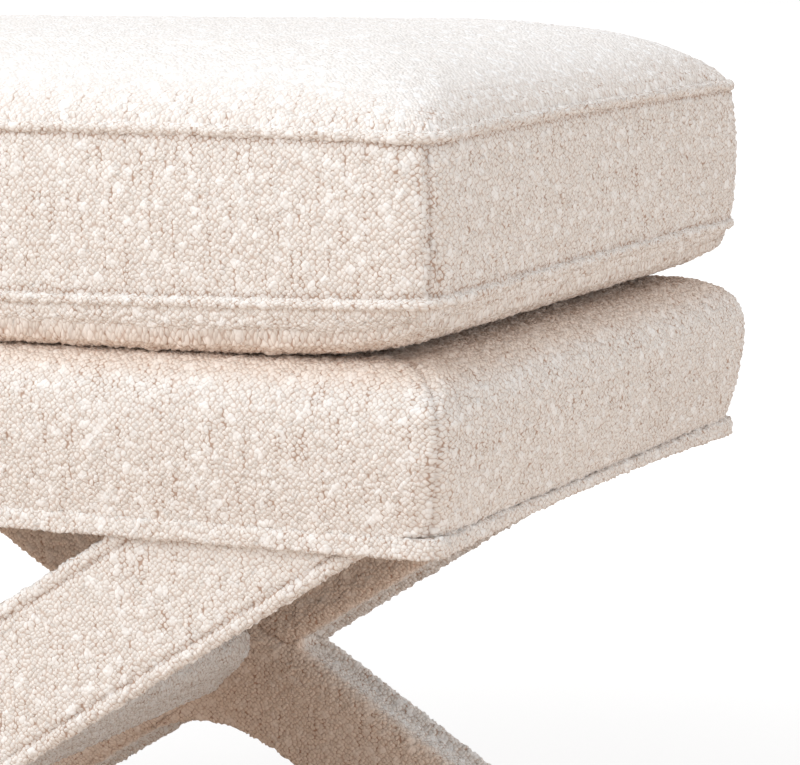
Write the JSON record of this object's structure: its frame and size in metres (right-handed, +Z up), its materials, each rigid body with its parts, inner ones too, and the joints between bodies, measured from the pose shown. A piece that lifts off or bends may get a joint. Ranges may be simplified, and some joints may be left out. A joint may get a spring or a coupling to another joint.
{
  "type": "stool",
  "caption": "Rectangular upholstered stool: a thick loose box cushion on a padded seat box, carried by two crossed-leg frames and a stretcher, all in boucle.",
  "frame": {"origin": "on the floor, under the middle of the stool's width and depth", "axes": "+Z up, +X to the right along the stool's width, front towards -Y, zip side towards +Y"},
  "size_m": [0.66, 0.402, 0.5083],
  "materials": {
    "boucle": "cream boucle with tan gaps between the knots",
    "zip_cloth": "woven zip tape with moulded teeth, cream",
    "dust_cloth": "spun-bonded black dust cloth",
    "wadding": "white polyester fibre wadding",
    "foam": "open-cell upholstery foam",
    "pine": "planed softwood",
    "plywood": "birch plywood",
    "steel": "zinc-plated steel",
    "black_plastic": "moulded nylon"
  },
  "bodies": {
    "frame": {"front_rail": "pine", "rear_rail": "pine", "left_rail": "pine", "right_rail": "pine", "cross_rail": "pine", "corner_blocks": "pine", "seat_deck": "plywood", "rail_screws": "steel", "deck_screws": "steel", "seat_pad": "foam", "side_wadding": "wadding", "seat_cover": "boucle", "seat_hem": "boucle", "dust_cover": "dust_cloth", "front_leg_left": "pine", "front_leg_right": "pine", "rear_leg_left": "pine", "rear_leg_right": "pine", "front_long_cover": "boucle", "front_upper_cover": "boucle", "front_lower_cover": "boucle", "rear_long_cover": "boucle", "rear_upper_cover": "boucle", "rear_lower_cover": "boucle", "lap_screws": "steel", "leg_bolts": "steel", "barrel_nuts": "steel", "foot_glides": "black_plastic", "stretcher_core": "pine", "stretcher_wadding": "wadding", "stretcher_cover": "boucle", "stretcher_bolts": "steel"},
    "cushion": {"cushion_cover": "boucle", "cushion_wrap": "wadding", "cushion_foam": "foam", "cushion_top_welt": "boucle", "cushion_bottom_welt": "boucle", "zip_tape": "zip_cloth"},
    "zip_slider": {"zip_slider": "steel"}
  },
  "joints": [
    {"name": "cushion_lift", "type": "slide", "parent": "frame", "child": "cushion", "axis": [0, 0, 1], "range_m": [0, 0.15]},
    {"name": "zip_slide", "type": "slide", "parent": "cushion", "child": "zip_slider", "axis": [-1, 0, 0], "range_m": [0, 0.4]}
  ]
}
